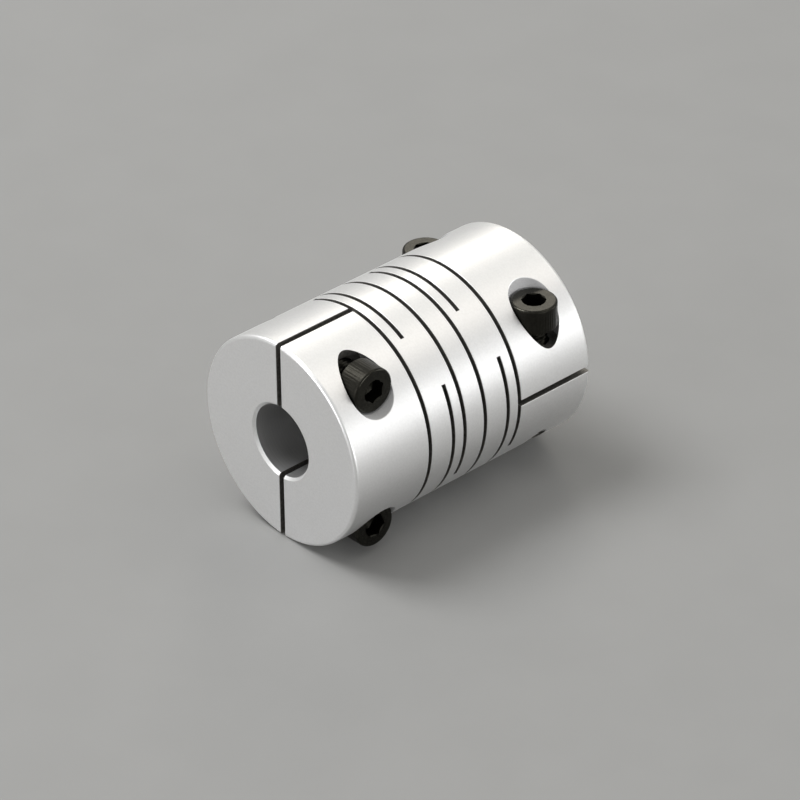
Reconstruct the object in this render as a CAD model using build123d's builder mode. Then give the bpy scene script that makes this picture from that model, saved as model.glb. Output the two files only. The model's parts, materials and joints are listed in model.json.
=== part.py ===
from build123d import *
import os

# A beam coupling: one slit aluminium cylinder with a split clamp hub at each end.
# All sizes are in millimetres. The coupling's axis is Y, with the front hub at -Y,
# X to the right and Z up. The origin is the centre of the coupling.

# Driving dimensions of the slit cylinder
outer_diameter = 40.0
length = 56.0
bore_diameter = 14.0
relief_diameter = 15.4  # the bore is a little wider under the thin rings
rim_chamfer = 0.65
bore_chamfer = 0.35

slit_width = 0.8
slit_pitch = 2.75
centre_slits = 4.9  # from slit to slit across the middle ring
leg_chord = 10.0  # from the axis to the straight end of a slit, where a leg begins

# Driving dimensions of the clamp hubs
slot_width = 1.2
screw_offset = 14.1  # from the coupling's axis to a screw's axis
screw_from_face = 8.4
seat_height = 7.0  # from the slot's middle plane to the seat of a screw head
pocket_diameter = 9.0
clearance_diameter = 5.5
thread_play = 0.05  # radial room between a screw and its tapped hole

# M5 socket head cap screws
screw_diameter = 5.0
screw_length = 16.0
head_diameter = 8.5
head_height = 5.0
head_chamfer = 0.35
tip_chamfer = 0.5
socket_flats = 4.0
socket_depth = 2.5

# How far each screw is backed out of its seat
front_upper_lift = 3.4
front_lower_lift = 3.1
rear_right_lift = 3.3
rear_left_lift = 1.25

outer_radius = outer_diameter / 2
half_slit = slit_width / 2
slit_1, slit_2, slit_3, slit_4 = [
    -centre_slits / 2 - count * slit_pitch for count in (3, 2, 1, 0)
]
slit_5, slit_6, slit_7, slit_8 = -slit_4, -slit_3, -slit_2, -slit_1
hub_inner_face = slit_8 + half_slit
hub_length = length / 2 - hub_inner_face
screw_height = hub_length - screw_from_face

# Angles of the legs about the axis, seen from the front: 0 is +X and 90 is +Z
RIGHT, TOP, LEFT, BOTTOM = 0, 90, 180, 270

# A hub's plane lies on its inner face. Its normal points out of the coupling, and
# its own x points the way the clamp cap comes off.
front_plane = Plane(origin=(0, -hub_inner_face, 0), x_dir=(1, 0, 0), z_dir=(0, -1, 0))
rear_plane = Plane(origin=(0, hub_inner_face, 0), x_dir=(0, 0, 1), z_dir=(0, 1, 0))


def station(y):
    """The plane across the coupling at y, whose normal points to the front."""
    return Plane.XZ.offset(-y)


def seat_plane(hub_plane, side):
    """The plane of one screw's seat, whose normal points out of the seat."""
    place = (seat_height, side * screw_offset, screw_height)
    return Plane(origin=hub_plane.from_local_coords(place), z_dir=hub_plane.x_dir)


def hub_half(hub_plane, side):
    """Half of a clamp hub, still without its holes: 1 is the cap, -1 the fixed half."""
    slot_face = hub_plane.from_local_coords((side * slot_width / 2, 0, 0))
    with BuildPart() as half:
        with BuildSketch(hub_plane):
            Circle(outer_radius)
            Circle(bore_diameter / 2, mode=Mode.SUBTRACT)
        extrude(amount=hub_length)
        end_face = half.faces().sort_by(Axis(hub_plane.origin, hub_plane.z_dir))[-1]
        bore_mouth = end_face.inner_wires().edges()
        chamfer(end_face.outer_wire().edges(), rim_chamfer)
        chamfer(bore_mouth, bore_chamfer)
        split(bisect_by=Plane(origin=slot_face, z_dir=hub_plane.x_dir * side))
    return half


def fixed_half(hub_plane):
    """The hub half that stays on the slit cylinder, with two tapped holes through it."""
    with BuildPart() as half:
        add(hub_half(hub_plane, -1).part)
        with BuildSketch(seat_plane(hub_plane, -1), seat_plane(hub_plane, 1)):
            Circle(screw_diameter / 2 + thread_play)
        extrude(amount=-seat_height - outer_radius, mode=Mode.SUBTRACT)
    return half


def clamp_cap(hub_plane):
    """The loose hub half, with a clearance hole and a head pocket for each screw."""
    with BuildPart() as cap:
        add(hub_half(hub_plane, 1).part)
        with BuildSketch(seat_plane(hub_plane, -1), seat_plane(hub_plane, 1)):
            Circle(clearance_diameter / 2)
        extrude(amount=-seat_height, mode=Mode.SUBTRACT)
        with BuildSketch(seat_plane(hub_plane, -1), seat_plane(hub_plane, 1)):
            Circle(pocket_diameter / 2)
        extrude(amount=outer_radius, mode=Mode.SUBTRACT)
    return cap


def cap_screw(hub_plane, side, lift):
    """A socket head cap screw, backed out of its seat by lift."""
    head_base = seat_plane(hub_plane, side).offset(lift)
    outwards = Axis(head_base.origin, head_base.z_dir)
    with BuildPart() as screw:
        with BuildSketch(head_base):
            Circle(head_diameter / 2)
        extrude(amount=head_height)
        chamfer(screw.faces().sort_by(outwards)[-1].edges(), head_chamfer)
        with BuildSketch(head_base.offset(head_height)):
            RegularPolygon(socket_flats / 2, 6, major_radius=False)
        extrude(amount=-socket_depth, mode=Mode.SUBTRACT)
        with BuildSketch(head_base):
            Circle(screw_diameter / 2)
        extrude(amount=-screw_length)
        chamfer(screw.faces().sort_by(outwards)[0].edges(), tip_chamfer)
    return screw


def plain_ring(front_slit, rear_slit):
    """The ring of metal left between two slits."""
    with BuildPart() as ring:
        with BuildSketch(station(rear_slit - half_slit)):
            Circle(outer_radius)
            Circle(relief_diameter / 2, mode=Mode.SUBTRACT)
        extrude(amount=rear_slit - front_slit - slit_width)
    return ring


def flexure_ring(front_slit, rear_slit, front_leg, rear_leg):
    """A thin ring with the uncut leg of the slit in front of it and of the one behind."""
    with BuildPart() as ring:
        add(plain_ring(front_slit, rear_slit).part)
        for slit, leg in ((front_slit, front_leg), (rear_slit, rear_leg)):
            with BuildSketch(station(slit + half_slit)):
                Circle(outer_radius)
                with PolarLocations(leg_chord + outer_radius / 2, 1, start_angle=leg):
                    Rectangle(outer_radius, outer_diameter, mode=Mode.INTERSECT)
            extrude(amount=slit_width)
    return ring


def write(piece, label):
    """Label a finished piece and write it to a file of the same name."""
    piece.part.label = label
    export_step(piece.part, "parts/" + label + ".step")


os.makedirs("parts", exist_ok=True)

# Clamp hubs: each has a half that belongs to the slit cylinder and a loose cap
write(fixed_half(front_plane), "front_hub")
write(clamp_cap(front_plane), "front_clamp_cap")
write(fixed_half(rear_plane), "rear_hub")
write(clamp_cap(rear_plane), "rear_clamp_cap")

# Clamp screws: the front pair points along X, the rear pair along Z
write(cap_screw(front_plane, 1, front_upper_lift), "front_upper_clamp_screw")
write(cap_screw(front_plane, -1, front_lower_lift), "front_lower_clamp_screw")
write(cap_screw(rear_plane, 1, rear_right_lift), "rear_right_clamp_screw")
write(cap_screw(rear_plane, -1, rear_left_lift), "rear_left_clamp_screw")

# Slit cylinder, from front to rear: the thin rings bend between their two legs
write(flexure_ring(slit_1, slit_2, LEFT, RIGHT), "flexure_ring_1")
write(plain_ring(slit_2, slit_3), "link_ring_1")
write(flexure_ring(slit_3, slit_4, TOP, BOTTOM), "flexure_ring_2")
write(plain_ring(slit_4, slit_5), "centre_ring")
write(flexure_ring(slit_5, slit_6, LEFT, RIGHT), "flexure_ring_3")
write(plain_ring(slit_6, slit_7), "link_ring_2")
write(flexure_ring(slit_7, slit_8, TOP, BOTTOM), "flexure_ring_4")
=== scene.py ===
import json
import math

import bmesh
import bpy
from mathutils import Matrix, Vector


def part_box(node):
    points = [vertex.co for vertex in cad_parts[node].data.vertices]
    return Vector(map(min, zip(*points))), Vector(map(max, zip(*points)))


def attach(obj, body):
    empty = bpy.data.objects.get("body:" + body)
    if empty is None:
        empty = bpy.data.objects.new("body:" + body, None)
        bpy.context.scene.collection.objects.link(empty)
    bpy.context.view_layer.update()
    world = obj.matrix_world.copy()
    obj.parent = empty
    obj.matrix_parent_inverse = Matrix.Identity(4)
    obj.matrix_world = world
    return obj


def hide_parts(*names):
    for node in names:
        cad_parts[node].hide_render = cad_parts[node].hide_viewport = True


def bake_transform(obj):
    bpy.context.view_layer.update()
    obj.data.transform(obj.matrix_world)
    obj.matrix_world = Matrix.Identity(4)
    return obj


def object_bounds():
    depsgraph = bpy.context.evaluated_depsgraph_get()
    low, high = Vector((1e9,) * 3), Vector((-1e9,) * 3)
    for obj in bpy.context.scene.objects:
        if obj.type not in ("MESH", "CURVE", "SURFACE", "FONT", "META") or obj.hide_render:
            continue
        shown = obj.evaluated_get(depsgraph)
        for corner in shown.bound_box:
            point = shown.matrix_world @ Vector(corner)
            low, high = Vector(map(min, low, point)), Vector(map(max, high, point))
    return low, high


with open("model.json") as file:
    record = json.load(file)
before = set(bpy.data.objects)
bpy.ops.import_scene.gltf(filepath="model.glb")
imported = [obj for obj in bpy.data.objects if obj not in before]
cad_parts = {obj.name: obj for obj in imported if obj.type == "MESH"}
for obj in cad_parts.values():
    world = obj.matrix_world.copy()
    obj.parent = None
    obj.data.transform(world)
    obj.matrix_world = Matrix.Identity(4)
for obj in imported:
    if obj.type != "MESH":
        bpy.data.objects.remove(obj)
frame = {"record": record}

# The frame is in metres. The meshes are made in millimetres and scaled down at the end.
MM = 0.001
cad_low, cad_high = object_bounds()


def low(node):
    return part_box(node)[0] / MM


def high(node):
    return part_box(node)[1] / MM


# Sizes from the frame
outer_r = cad_high.x / MM
half_length = cad_high.y / MM
bore_r = frame["record"]["mounts"][0]["dims"]["r_mm"]
hub_face = low("rear_hub").y
hub_length = half_length - hub_face
slot_half = low("front_clamp_cap").x
ring_thickness = high("link_ring_1").y - low("link_ring_1").y
slit_width = (high("flexure_ring_1").y - low("flexure_ring_1").y - ring_thickness) / 2
screw_y = (low("rear_left_clamp_screw").y + high("rear_left_clamp_screw").y) / 2
screw_offset = (low("rear_right_clamp_screw").x + high("rear_right_clamp_screw").x) / 2
head_r = screw_offset - low("rear_right_clamp_screw").x
screw_height = screw_y - hub_face

# Sizes that the frame's boxes don't give, as in the CAD model
relief_r = 7.7
leg_chord = 10.0
seat_height = 7.0
pocket_r = 4.5
clearance_r = 2.75
screw_r = 2.5
thread_play = 0.05
screw_length = 16.0
head_height = 5.0
socket_flats = 4.0
socket_depth = 2.5

# Finish of the edges, threads and screw heads
rim_round = 0.7
bore_chamfer = 0.5
edge_break = 0.07
thread_pitch = 0.8
thread_depth = 0.43
head_round = 0.45
under_head_bevel = 0.3
tip_bevel = 0.55
knurl_count = 48
knurl_depth = 0.03
drill_point = 0.9

FINE = 288  # steps round the slit cylinder
HOLE = 96  # steps round a hole or pocket
SHANK = 72  # steps round a screw's shank
HEAD = knurl_count * 6  # steps round a screw's head
BEYOND = 4.0  # how far a cutter stands clear of the round outer surface
PAST = 1.0  # how far a cutter runs past a flat face that it goes through
CLEAR = 0.3  # how far an edge cutter reaches past the edge that it breaks
JOINED = 0.002  # corners closer than this are one corner after a cut


# ---------------------------------------------------------------- mesh tools


def make(name, corners, faces):
    """A mesh object from its corners and faces, with doubled corners joined."""
    mesh = bpy.data.meshes.new(name)
    mesh.from_pydata(corners, [], faces)
    bm = bmesh.new()
    bm.from_mesh(mesh)
    bmesh.ops.remove_doubles(bm, verts=bm.verts, dist=1e-6)
    bmesh.ops.recalc_face_normals(bm, faces=bm.faces)
    bm.to_mesh(mesh)
    bm.free()
    piece = bpy.data.objects.new(name, mesh)
    bpy.context.scene.collection.objects.link(piece)
    return piece


def loft(name, rings):
    """A closed skin through rings of corners, with a flat face over each end."""
    count = len(rings[0])
    corners = [corner for ring in rings for corner in ring]
    faces = [
        (k * count + i, k * count + (i + 1) % count,
         (k + 1) * count + (i + 1) % count, (k + 1) * count + i)
        for k in range(len(rings) - 1)
        for i in range(count)
    ]
    faces.append(tuple(range(count)))
    faces.append(tuple(range((len(rings) - 1) * count, len(rings) * count)))
    return make(name, corners, faces)


def circle(radius, z, steps, shape=None):
    """One ring of corners about local Z; shape(angle, z) adds to the radius."""
    ring = []
    for k in range(steps):
        angle = 2 * math.pi * k / steps
        r = radius + (shape(angle, z) if shape else 0)
        ring.append((r * math.cos(angle), r * math.sin(angle), z))
    return ring


def turned(name, section, steps=FINE):
    """A ring turned about local Z. section lists its corners as (radius, z)."""
    count = len(section)
    corners = []
    for k in range(steps):
        angle = 2 * math.pi * k / steps
        corners += [(r * math.cos(angle), r * math.sin(angle), z) for r, z in section]
    faces = [
        (k * count + i, k * count + (i + 1) % count,
         (k + 1) % steps * count + (i + 1) % count, (k + 1) % steps * count + i)
        for k in range(steps)
        for i in range(count)
    ]
    return make(name, corners, faces)


def moved(piece, matrix):
    piece.data.transform(matrix)
    return piece


def combined(piece, other, operation):
    """The mesh of the piece after a boolean with the other, which is then removed."""
    modifier = piece.modifiers.new("combine", "BOOLEAN")
    modifier.operation = operation
    modifier.solver = "EXACT"
    modifier.object = other
    bpy.context.view_layer.update()
    evaluated = piece.evaluated_get(bpy.context.evaluated_depsgraph_get())
    mesh = bpy.data.meshes.new_from_object(evaluated)
    piece.modifiers.clear()
    bpy.data.objects.remove(other)
    return mesh


def cut(piece, cutter):
    """Take the cutter's solid out of the piece, and mend what the cut leaves ragged."""
    mesh = combined(piece, cutter, "DIFFERENCE")
    bm = bmesh.new()
    bm.from_mesh(mesh)
    bmesh.ops.remove_doubles(bm, verts=bm.verts, dist=JOINED)
    bmesh.ops.dissolve_degenerate(bm, edges=bm.edges, dist=JOINED / 4)
    bmesh.ops.holes_fill(bm, edges=[edge for edge in bm.edges if edge.is_boundary])
    bmesh.ops.recalc_face_normals(bm, faces=bm.faces)
    bm.to_mesh(mesh)
    bm.free()
    piece.data = mesh
    return piece


def trim(piece, point, normal):
    """Slice off what lies beyond a plane and close the cut."""
    bm = bmesh.new()
    bm.from_mesh(piece.data)
    whole = bm.verts[:] + bm.edges[:] + bm.faces[:]
    sliced = bmesh.ops.bisect_plane(
        bm, geom=whole, dist=1e-6, plane_co=point, plane_no=normal, clear_outer=True
    )
    rim = [e for e in sliced["geom_cut"] if isinstance(e, bmesh.types.BMEdge)]
    bmesh.ops.edgeloop_fill(bm, edges=rim)
    bmesh.ops.recalc_face_normals(bm, faces=bm.faces)
    bm.to_mesh(piece.data)
    bm.free()
    return piece


def thread(angle, z):
    """How far a screw thread's flank stands below its crest, at an angle and height."""
    turn = (z / thread_pitch - angle / (2 * math.pi)) % 1.0
    ramp = abs(2 * turn - 1)
    steepness, flat_crest = 1.25, 0.12
    return -thread_depth * min(1.0, max(0.0, steepness * ramp - flat_crest))


# ---------------------------------------------------------------- frames
# Each part is made about its local Z. A hub's local X is the way its cap comes off and
# its local Z points out of the coupling, from the hub's inner face.


def placed(x_dir, y_dir, z_dir, origin):
    axes = Matrix((x_dir, y_dir, z_dir)).transposed().to_4x4()
    return Matrix.Translation(origin) @ axes


front_frame = placed((1, 0, 0), (0, 0, 1), (0, -1, 0), (0, -hub_face, 0))
rear_frame = placed((0, 0, 1), (1, 0, 0), (0, 1, 0), (0, hub_face, 0))


def ring_frame(front_y):
    """A frame that looks at the coupling from the front, with its origin at front_y."""
    return placed((1, 0, 0), (0, 0, 1), (0, -1, 0), (0, front_y, 0))


# ---------------------------------------------------------------- aluminium pieces


def edge_cutter(z, side, leg=None):
    """Breaks the outer edge of a flat face at z, whose metal lies towards side.
    The edge stays whole beyond the chord of a leg, given as its angle."""
    reach = edge_break + CLEAR
    section = [
        (outer_r - reach, z - side * (reach - edge_break)),
        (outer_r + reach, z + side * (reach + edge_break)),
        (outer_r + reach, z - side * (reach - edge_break)),
    ]
    cutter = turned("edge_cutter", section)
    if leg is not None:
        way = Vector((math.cos(leg), math.sin(leg), 0))
        trim(cutter, way * leg_chord, way)
    return cutter


def quarter_round(edge_r, z, radius, steps=6):
    """Corners of a round, as (radius, z), from a side at edge_r up to a face at z."""
    angles = [math.pi / 2 * k / steps for k in range(steps + 1)]
    return [
        (edge_r - radius + radius * math.cos(angle), z - radius + radius * math.sin(angle))
        for angle in angles
    ]


def hub_half(side):
    """Half a clamp hub with its slot face, still undrilled. side 1 is the cap."""
    section = [(bore_r, 0), (outer_r, 0)] + quarter_round(outer_r, hub_length, rim_round)
    section += [(bore_r + bore_chamfer, hub_length), (bore_r, hub_length - bore_chamfer)]
    half = turned("hub_half", section)
    slot_x = side * slot_half
    trim(half, (slot_x, 0, 0), (-side, 0, 0))
    # break the straight edges of the slot: along the outer surface and the end faces
    corner = math.sqrt(outer_r**2 - slot_half**2) - edge_break
    for way in (-1, 1):
        trim(half, (slot_x, way * corner, 0), (-side, way, 0))
    trim(half, (slot_x, 0, hub_length - edge_break), (-side, 0, 1))
    trim(half, (slot_x, 0, edge_break), (-side, 0, -1))
    return half


def screw_hole(name, rings):
    """A cutter through rings about local Z, laid along local X as a hub's screws are."""
    return moved(loft(name, rings), Matrix.Rotation(math.pi / 2, 4, "Y"))


def fixed_half():
    """The half that belongs to the slit cylinder, with two tapped holes through it. A
    hole is plain as far as a seated screw reaches, so that the threads never cross."""
    half = hub_half(-1)
    # the leg of the slit beside the hub lies opposite the cap
    cut(half, edge_cutter(0, 1, leg=math.pi))
    tapped_r = screw_r + thread_play
    past_tip, rows_per_turn = 0.6, 8
    plain_end = screw_length - seat_height + past_tip
    rows = rows_per_turn * round((outer_r - plain_end) / thread_pitch)
    for way in (-1, 1):
        rings = [circle(tapped_r, BEYOND, HOLE), circle(tapped_r, -plain_end, HOLE)]
        for row in range(1, rows + 1):
            z = -plain_end - (outer_r - plain_end) * row / rows
            rings.append(circle(screw_r, z, HOLE, thread))
        cutter = screw_hole("tapped_hole", rings)
        moved(cutter, Matrix.Translation((0, way * screw_offset, screw_height)))
        cut(half, cutter)
    return half


def pocket_cutter(way):
    """The room for a screw head, flared where it meets the round outer surface. The
    flare fades out where the wall does, and its corners stay apart there."""
    apart = 0.01
    middle = Vector((0, way * screw_offset, screw_height))
    seat, broken, flare, top = [], [], [], []
    for k in range(HOLE):
        angle = 2 * math.pi * k / HOLE
        out = Vector((0, math.sin(angle), math.cos(angle)))
        wall = middle + out * pocket_r
        surface = math.sqrt(outer_r**2 - wall.y**2)
        edge = wall + Vector((surface, 0, 0))
        normal = Vector((edge.x, edge.y, 0)) / outer_r
        along = (out - normal * out.dot(normal)).normalized()
        width = min(edge_break, max(0.0, (surface - seat_height) / 2))
        inner = edge - Vector((width, 0, 0))
        outer = edge + along * width
        inner.x = max(inner.x, seat_height + apart)
        beyond = outer + (outer - inner) * 3 if width > apart else edge.copy()
        beyond.x = max(beyond.x, seat_height + 2 * apart)
        seat.append(wall + Vector((seat_height, 0, 0)))
        broken.append(inner)
        flare.append(beyond)
        top.append(Vector((outer_r + BEYOND, beyond.y, beyond.z)))
    return loft("pocket_cutter", [seat, broken, flare, top])


def clamp_cap():
    """The loose half, with a clearance hole and a head pocket for each screw."""
    half = hub_half(1)
    cut(half, edge_cutter(0, 1))
    for way in (-1, 1):
        cut(half, pocket_cutter(way))
        rings = [circle(clearance_r, z, HOLE) for z in (-BEYOND, seat_height + PAST)]
        cutter = screw_hole("clearance_hole", rings)
        moved(cutter, Matrix.Translation((0, way * screw_offset, screw_height)))
        cut(half, cutter)
    return half


def ring(thickness, front_leg, rear_leg):
    """A ring between two slits. Local z runs from its rear face at 0 to its front face."""
    section = [(relief_r, 0), (outer_r, 0), (outer_r, thickness), (relief_r, thickness)]
    piece = turned("ring", section)
    cut(piece, edge_cutter(0, 1, rear_leg))
    cut(piece, edge_cutter(thickness, -1, front_leg))
    return piece


def slit_cutter(z, side, leg):
    """One slit, from z outwards, that stops at the chord of its leg and breaks the edge
    of the ring beside it. The ring's metal lies towards side."""
    far, inner_r = z - side * (slit_width + PAST), relief_r - 2 * PAST
    step = edge_break + CLEAR
    section = [
        (inner_r, far), (inner_r, z), (outer_r - edge_break, z),
        (outer_r + step - edge_break, z + side * step), (outer_r + step, far),
    ]
    cutter = turned("slit_cutter", section)
    way = Vector((math.cos(leg), math.sin(leg), 0))
    return trim(cutter, way * leg_chord, way)


def flexure_halves(front_leg, rear_leg):
    """A thin ring and its two legs, parted at its middle: (front leg half, rear leg half)."""
    depth = ring_thickness + 2 * slit_width
    section = [(relief_r, 0), (outer_r, 0), (outer_r, depth), (relief_r, depth)]
    whole = turned("flexure", section)
    cut(whole, slit_cutter(slit_width, 1, rear_leg))
    cut(whole, slit_cutter(depth - slit_width, -1, front_leg))
    halves = []
    for leg in (front_leg, rear_leg):
        half = bpy.data.objects.new("flexure_half", whole.data.copy())
        bpy.context.scene.collection.objects.link(half)
        way = Vector((math.cos(leg), math.sin(leg), 0))
        halves.append(trim(half, (0, 0, 0), -way))
    bpy.data.objects.remove(whole)
    return halves


# ---------------------------------------------------------------- screws


def knurl(angle, z):
    """Fine straight grooves round a screw head."""
    return -knurl_depth * (0.5 - 0.5 * math.cos(knurl_count * angle)) ** 2


def shank():
    """The threaded shank. Its thread fades out at the tip and under the head."""
    rings = []
    crest_r = screw_r - 0.01  # a hair under the CAD shank
    rows_per_turn, fade_in, plain_neck, fade_out = 10, 0.7, 0.6, 0.8
    rows = rows_per_turn * round(screw_length / thread_pitch)
    for row in range(rows + 1):
        from_tip = screw_length * row / rows
        z = from_tip - screw_length
        fade = min(1.0, from_tip / fade_in, max(0.0, -z - plain_neck) / fade_out)
        bevelled_r = crest_r + min(0.0, from_tip - tip_bevel)
        rings.append(circle(bevelled_r, z, SHANK, lambda a, h: thread(a, h) * fade))
    return loft("shank", rings)


def cap_screw():
    """A socket head cap screw about local Z, with the head's base at 0."""
    # bevel under the head with a softened edge, knurled side, plain band, rounded top
    soft = 0.04
    rings = [
        circle(head_r - under_head_bevel, 0, HEAD),
        circle(head_r - soft, under_head_bevel - soft, HEAD),
    ]
    side_rows, plain_band = 6, 0.3
    side_height = head_height - under_head_bevel - plain_band - head_round
    for row in range(side_rows + 1):
        fade = min(1.0, row, side_rows - row)
        z = under_head_bevel + side_height * row / side_rows
        rings.append(circle(head_r, z, HEAD, lambda a, h: knurl(a, h) * fade))
    rings += [circle(r, z, HEAD) for r, z in quarter_round(head_r, head_height, head_round)]
    head = loft("head", rings)
    # hexagon socket with a drilled point below it, and a lead-in cone whose mouth is
    # wider than the flats and narrower than the corners
    corner_r = socket_flats / 2 / math.cos(math.pi / 6)
    mouth_r, point_r = corner_r - 0.12, 0.05
    floor_z = head_height - socket_depth
    hexagon = [circle(corner_r, z, 6) for z in (floor_z, head_height + PAST)]
    cut(head, loft("socket", [circle(point_r, floor_z - drill_point, 6)] + hexagon))
    cone = [circle(mouth_r + h, head_height + h, HOLE // 2) for h in (-0.5, 0.5)]
    cut(head, loft("lead_in", cone))
    head.data = combined(head, shank(), "UNION")
    return head


# ---------------------------------------------------------------- materials


EVEN = (1, 1, 1)  # noise that isn't stretched in any direction


class Nodes:
    """Short ways to add shader nodes to one material."""

    def __init__(self, name):
        self.material = bpy.data.materials.new(name)
        self.material.use_nodes = True
        self.tree = self.material.node_tree
        self.shader = self.tree.nodes["Principled BSDF"]

    def add(self, kind, **values):
        node = self.tree.nodes.new("ShaderNode" + kind)
        for key, value in values.items():
            if key in node.inputs:
                node.inputs[key].default_value = value
            else:
                setattr(node, key, value)
        return node

    def link(self, source, target):
        self.tree.links.new(source, target)

    def noise(self, stretch, scale, detail=2.0, rough=0.5):
        """Noise over the row frame's own coordinates, stretched by a vector."""
        place = self.add("TexCoord")
        mapping = self.add("Mapping")
        mapping.inputs["Scale"].default_value = stretch
        self.link(place.outputs["Object"], mapping.inputs["Vector"])
        node = self.add("TexNoise", Scale=scale, Detail=detail, Roughness=rough)
        self.link(mapping.outputs["Vector"], node.inputs["Vector"])
        return node.outputs["Fac"]

    def ramp(self, source, low_value, high_value, low_at=0.35, high_at=0.65):
        node = self.add("MapRange")
        node.inputs["From Min"].default_value = low_at
        node.inputs["From Max"].default_value = high_at
        node.inputs["To Min"].default_value = low_value
        node.inputs["To Max"].default_value = high_value
        self.link(source, node.inputs["Value"])
        return node.outputs["Result"]

    def colours(self, source, first, second, low_at=0.35, high_at=0.65):
        node = self.add("ValToRGB")
        node.color_ramp.elements[0].position = low_at
        node.color_ramp.elements[0].color = (*first, 1)
        node.color_ramp.elements[1].position = high_at
        node.color_ramp.elements[1].color = (*second, 1)
        self.link(source, node.inputs["Fac"])
        self.link(node.outputs["Color"], self.shader.inputs["Base Color"])

    def bump(self, source, distance, before=None):
        node = self.add("Bump", Strength=1.0, Distance=distance)
        self.link(source, node.inputs["Height"])
        if before:
            self.link(before.outputs["Normal"], node.inputs["Normal"])
        self.link(node.outputs["Normal"], self.shader.inputs["Normal"])
        return node


def satin_aluminium():
    """Clear anodised, finely blasted aluminium with faint turning marks round it."""
    n = Nodes("satin_aluminium")
    n.shader.inputs["Metallic"].default_value = 1.0
    n.colours(n.noise(EVEN, 2600, 3), (0.865, 0.865, 0.865), (0.905, 0.905, 0.905))
    grain = n.noise(EVEN, 5200, 3)
    n.link(n.ramp(grain, 0.38, 0.46), n.shader.inputs["Roughness"])
    first = n.bump(grain, 0.00001)
    marks = n.noise((20, 2600, 20), 1.0, 3)
    n.bump(marks, 0.000004, first)
    return n.material


def cut_aluminium_painted_shade():
    """Walls of slits and slots, left by the cutting wire: dull. Their dark colour, which the
    pocket seats and screw holes also take, is painted shade of these narrow recesses.
    """
    n = Nodes("cut_aluminium_painted_shade")
    n.shader.inputs["Metallic"].default_value = 1.0
    n.colours(n.noise(EVEN, 1500, 3), (0.20, 0.19, 0.18), (0.30, 0.29, 0.27))
    grain = n.noise(EVEN, 7000, 2)
    n.link(n.ramp(grain, 0.5, 0.7), n.shader.inputs["Roughness"])
    n.bump(grain, 0.00001)
    return n.material


def bored_aluminium():
    """The bore's wall, turned smooth, with fine rings round it."""
    n = Nodes("bored_aluminium")
    n.shader.inputs["Metallic"].default_value = 1.0
    rings = n.noise((15, 5000, 15), 1.0, 2)
    n.colours(rings, (0.60, 0.60, 0.60), (0.68, 0.68, 0.68))
    n.link(n.ramp(rings, 0.40, 0.50), n.shader.inputs["Roughness"])
    n.bump(rings, 0.000002)
    return n.material


def milled_aluminium():
    """Walls of the screw pockets: milled, then blasted and anodised with the rest."""
    n = Nodes("milled_aluminium")
    n.shader.inputs["Metallic"].default_value = 0.35
    grain = n.noise(EVEN, 3500, 3)
    n.colours(grain, (0.80, 0.80, 0.81), (0.86, 0.86, 0.87))
    n.link(n.ramp(grain, 0.42, 0.55), n.shader.inputs["Roughness"])
    n.bump(grain, 0.000006)
    return n.material


def black_oxide(name, dark, light, smooth, rough):
    """Blackened steel with a trace of oil, between two tones and two roughnesses."""
    n = Nodes(name)
    n.shader.inputs["Metallic"].default_value = 1.0
    n.colours(n.noise(EVEN, 1400, 4), dark, light)
    grain = n.noise(EVEN, 6000, 3)
    n.link(n.ramp(grain, smooth, rough), n.shader.inputs["Roughness"])
    n.bump(grain, 0.000003)
    return n.material


def studio_floor():
    n = Nodes("studio_floor")
    n.colours(n.noise(EVEN, 60, 3), (0.252, 0.252, 0.248), (0.258, 0.258, 0.254))
    n.shader.inputs["Roughness"].default_value = 0.7
    return n.material


satin = satin_aluminium()
# the cut walls' dark colour is painted shade of the slits, slots, seats and holes
shaded_cut_wall = cut_aluminium_painted_shade()
bored = bored_aluminium()
milled = milled_aluminium()
blackened = black_oxide("black_oxide", (0.027, 0.026, 0.022), (0.036, 0.035, 0.029), 0.19, 0.28)
# the sides of the screw heads: rougher than the tops, and darker in colour as painted shade
knurled_painted_shade = black_oxide("knurled_oxide_painted_shade", (0.019, 0.018, 0.015), (0.025, 0.024, 0.020), 0.36, 0.46)

SMOOTH_BELOW = math.radians(28)


def true_normals(mesh, axis, round_skin):
    """Gives the flat faces across the axis, and the round skin of the aluminium, the
    normals of their true shape: the long thin faces left by the cuts shade unevenly."""
    near = 0.01
    normals = [Vector(corner.vector) for corner in mesh.corner_normals]
    rim_r, rim_y = outer_r - rim_round, half_length - rim_round
    for face in mesh.polygons:
        if abs(face.normal.dot(axis)) > 0.9999:
            for loop in face.loop_indices:
                normals[loop] = face.normal.copy()
            continue
        if not round_skin:
            continue
        places = [mesh.vertices[k].co / MM for k in face.vertices]
        radii = [math.hypot(p.x, p.z) for p in places]
        outwards = [Vector((p.x, 0, p.z)).normalized() for p in places]
        facing = face.normal.dot(Vector((face.center.x, 0, face.center.z)).normalized())
        on_skin = all(abs(r - outer_r) < near for r in radii)
        in_bore = all(abs(r - bore_r) < near for r in radii)
        on_rim = all(r > rim_r - near for r in radii) and all(
            abs(p.y) > rim_y - near for p in places
        )
        if (on_skin or in_bore) and abs(facing) > 0.999:
            for loop, outward in zip(face.loop_indices, outwards):
                normals[loop] = outward * (1 if facing > 0 else -1)
        elif on_rim and facing > 0.05:
            for loop, outward, r, p in zip(face.loop_indices, outwards, radii, places):
                depth = math.copysign(max(0.0, abs(p.y) - rim_y), p.y)
                normal = outward * (r - rim_r) + Vector((0, depth, 0))
                if normal.normalized().dot(face.normal) > 0.9:
                    normals[loop] = normal.normalized()
    mesh.normals_split_custom_set(normals)


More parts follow.
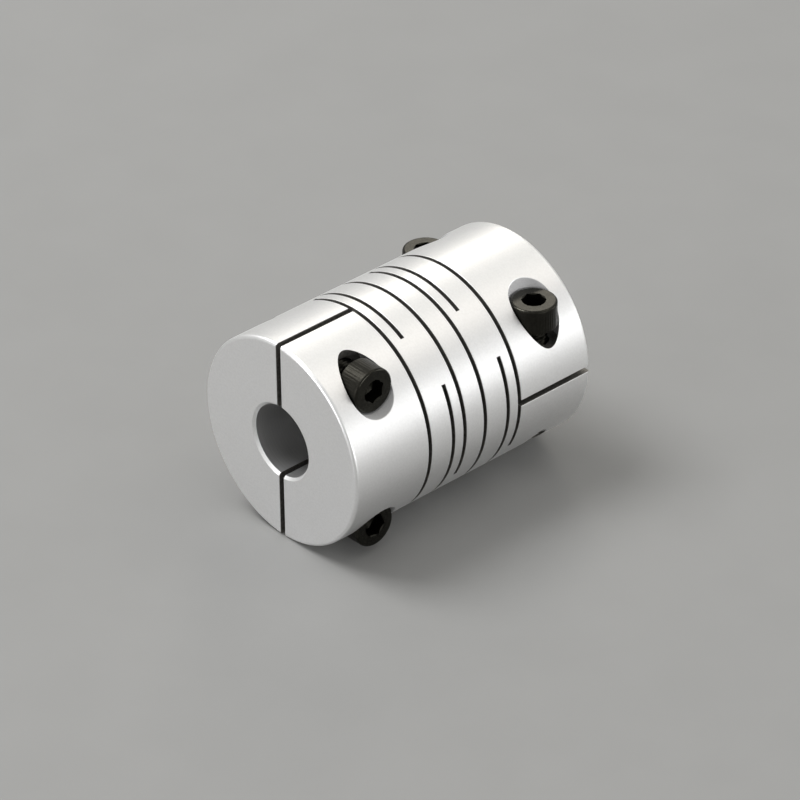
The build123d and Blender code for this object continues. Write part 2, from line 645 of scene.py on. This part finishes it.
def finished(name, source, matrix, materials, choose, round_skin):
    """A piece in the row frame, made from a part's mesh by a frame's matrix."""
    mesh = source.data.copy()
    mesh.name = name
    mesh.transform(Matrix.Scale(MM, 4) @ matrix)
    for material in materials:
        mesh.materials.append(material)
    for face in mesh.polygons:
        face.use_smooth = True
        face.material_index = choose(face.center / MM, face.normal)
    mesh.set_sharp_from_angle(angle=SMOOTH_BELOW)
    true_normals(mesh, matrix.to_3x3() @ Vector((0, 0, 1)), round_skin)
    piece = bpy.data.objects.new(name, mesh)
    bpy.context.scene.collection.objects.link(piece)
    return piece


def aluminium_face(middle, normal):
    """0 for the outer skin, 1 for a slit, slot, seat or screw hole, whose dark colour is painted
    shade, 2 for the bore and 3 for the wall of a screw pocket. middle is the middle of the face
    in the row frame."""
    radius = math.hypot(middle.x, middle.z)
    # how high the face lies the way that its hub's cap comes off, and how far across
    lift, across = (middle.x, middle.z) if middle.y < 0 else (middle.z, middle.x)
    from_screw = math.hypot(abs(across) - screw_offset, abs(middle.y) - screw_y)
    in_hub = abs(middle.y) > hub_face
    near, nearer, well_inside = 0.02, 0.01, 0.5
    if radius > outer_r - near:
        return 0
    if lift > seat_height - nearer and from_screw < pocket_r + nearer:
        return 3 if lift > seat_height + nearer else 1
    if in_hub and from_screw < clearance_r + nearer:
        return 1
    if radius < relief_r + near and abs(normal.y) < 0.2:
        return 2
    if abs(middle.y) < hub_face + near and abs(normal.y) > 0.99:
        return 1
    if in_hub and abs(abs(lift) - slot_half) < near:
        return 1
    if not in_hub and radius < outer_r - well_inside:
        return 1
    return 0


def aluminium(name, source, matrix, node):
    piece = finished(name, source, matrix, [satin, shaded_cut_wall, bored, milled], aluminium_face, True)
    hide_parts(node)
    return piece


# ---------------------------------------------------------------- camera
# Set first among the things placed, so that the view is fixed before the pieces are.

azimuth, elevation, roll = math.radians(47.98), math.radians(33.34), math.radians(-0.64)
camera_distance = 0.850
aim_right, aim_down = 0.00022, 0.00323

back = Vector((
    math.sin(azimuth) * math.cos(elevation),
    -math.cos(azimuth) * math.cos(elevation),
    math.sin(elevation),
))
level_right = Vector((math.cos(azimuth), math.sin(azimuth), 0))
level_up = back.cross(level_right)
right = level_right * math.cos(roll) + level_up * math.sin(roll)
up = back.cross(right)
aim = right * aim_right - up * aim_down

camera = bpy.data.objects.new("camera", bpy.data.cameras.new("camera"))
bpy.context.scene.collection.objects.link(camera)
camera.data.sensor_width = 36.0
camera.data.lens = 215.0
camera.data.clip_end = 20.0
camera.matrix_world = placed(right, up, back, aim + back * camera_distance)
bpy.context.scene.camera = camera


# ---------------------------------------------------------------- pieces

fixed, cap = fixed_half(), clamp_cap()
for end, matrix in (("front", front_frame), ("rear", rear_frame)):
    hub = aluminium(end + "_hub_half", fixed, matrix, end + "_hub")
    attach(hub, end + "_hub")
    loose = aluminium(end + "_cap_half", cap, matrix, end + "_clamp_cap")
    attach(loose, end + "_clamp_cap")

# rings that stay rigid: the pair between hinges and the one in the middle
RIGHT, TOP, LEFT, BOTTOM = 0, math.pi / 2, math.pi, 3 * math.pi / 2
link = ring(ring_thickness, RIGHT, TOP)
for node in ("link_ring_1", "link_ring_2"):
    piece = aluminium(node + "_metal", link, ring_frame(high(node).y), node)
    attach(piece, node)
middle_thickness = high("centre_ring").y - low("centre_ring").y
centre = ring(middle_thickness, BOTTOM, LEFT)
centre_piece = aluminium(
    "centre_ring_metal", centre, ring_frame(high("centre_ring").y), "centre_ring"
)
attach(centre_piece, "centre_ring")

# thin rings between the slits: each half runs from its leg to the ring's middle
chain = ["front_hub", "flexure_ring_1", "link_ring_1", "flexure_ring_2", "centre_ring",
         "flexure_ring_3", "link_ring_2", "flexure_ring_4", "rear_hub"]
flexures = {"side": flexure_halves(LEFT, RIGHT), "up": flexure_halves(TOP, BOTTOM)}
for count, kind in ((1, "side"), (3, "up"), (5, "side"), (7, "up")):
    node = chain[count]
    legs = (LEFT, RIGHT) if kind == "side" else (TOP, BOTTOM)
    for number in (0, 1):
        name = node + ("_front_half", "_rear_half")[number]
        piece = aluminium(name, flexures[kind][number], ring_frame(high(node).y), node)
        way = Vector((math.cos(legs[number]), 0, math.sin(legs[number])))
        if number == 0:
            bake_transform(piece)
        else:
            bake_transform(piece)

# Each screw: the way its head points, a direction across it, and how far its hexagon
# socket is turned from that, in degrees.
screw = cap_screw()
for node, way, side, socket_turn in (
    ("front_upper_clamp_screw", (1, 0, 0), (0, 1, 0), 20),
    ("front_lower_clamp_screw", (1, 0, 0), (0, 1, 0), 50),
    ("rear_right_clamp_screw", (0, 0, 1), (1, 0, 0), 48),
    ("rear_left_clamp_screw", (0, 0, 1), (1, 0, 0), 10),
):
    way, side = Vector(way), Vector(side)
    middle = (low(node) + high(node)) / 2
    base = middle + way * (high(node).dot(way) - head_height - middle.dot(way))
    frame_of_screw = placed(side, way.cross(side), way, base)
    turned_socket = frame_of_screw @ Matrix.Rotation(math.radians(socket_turn), 4, "Z")
    piece = finished(
        node + "_metal", screw, turned_socket, [blackened, knurled_painted_shade],
        # a head's sides take the rougher oxide, whose darker tone is painted shade
        lambda middle, normal: 0 if abs(normal.dot(way)) > 0.5 else 1, False,
    )
    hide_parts(node)
    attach(piece, node)

for part in [fixed, cap, link, centre, screw, *flexures["side"], *flexures["up"]]:
    bpy.data.objects.remove(part)


# ---------------------------------------------------------------- studio

floor_half = 6.0
floor_corners = [
    (x * floor_half, y * floor_half, 0) for x, y in ((-1, -1), (1, -1), (1, 1), (-1, 1))
]
floor = make("floor", floor_corners, [(0, 1, 2, 3)])
floor.location.z = cad_low.z
floor.data.materials.append(studio_floor())

lamp_distance = 1.6


def softbox(name, turn, rise, width, height, power, colour=(1, 1, 1)):
    """A rectangular light that faces the coupling. turn is its angle from the front to
    the right and rise its angle above the floor, both in degrees."""
    data = bpy.data.lights.new(name, "AREA")
    data.shape = "RECTANGLE"
    data.size, data.size_y, data.energy, data.color = width, height, power, colour
    lamp = bpy.data.objects.new(name, data)
    bpy.context.scene.collection.objects.link(lamp)
    turn, rise = math.radians(turn), math.radians(rise)
    way = Vector((
        math.sin(turn) * math.cos(rise), -math.cos(turn) * math.cos(rise), math.sin(rise)
    ))
    lamp.location = way * lamp_distance
    lamp.rotation_euler = (-way).to_track_quat("-Z", "Y").to_euler()


softbox("left_high", -60, 58, 0.75, 0.75, 20.6)
softbox("front_low", -10, 8, 0.75, 0.4, 7.1, (0.99, 0.98, 1.0))
softbox("right_low", 95, 8, 0.75, 0.4, 5.3)
softbox("back_right_low", 145, 8, 0.75, 0.4, 3.7)
softbox("back_right_high", 145, 58, 0.75, 0.75, 1.9, (1.0, 0.94, 0.86))
softbox("back_high", 190, 58, 0.75, 0.75, 0.6, (1.0, 0.98, 0.9))
softbox("back_left", 222, 32, 0.5, 0.5, 2.0, (1.0, 0.95, 0.86))

world = bpy.data.worlds.new("studio")
bpy.context.scene.world = world
world.use_nodes = True
world.node_tree.nodes["Background"].inputs["Color"].default_value = (1.0, 1.0, 0.98, 1.0)
world.node_tree.nodes["Background"].inputs["Strength"].default_value = 0.55

bpy.context.scene.view_settings.view_transform = "Standard"
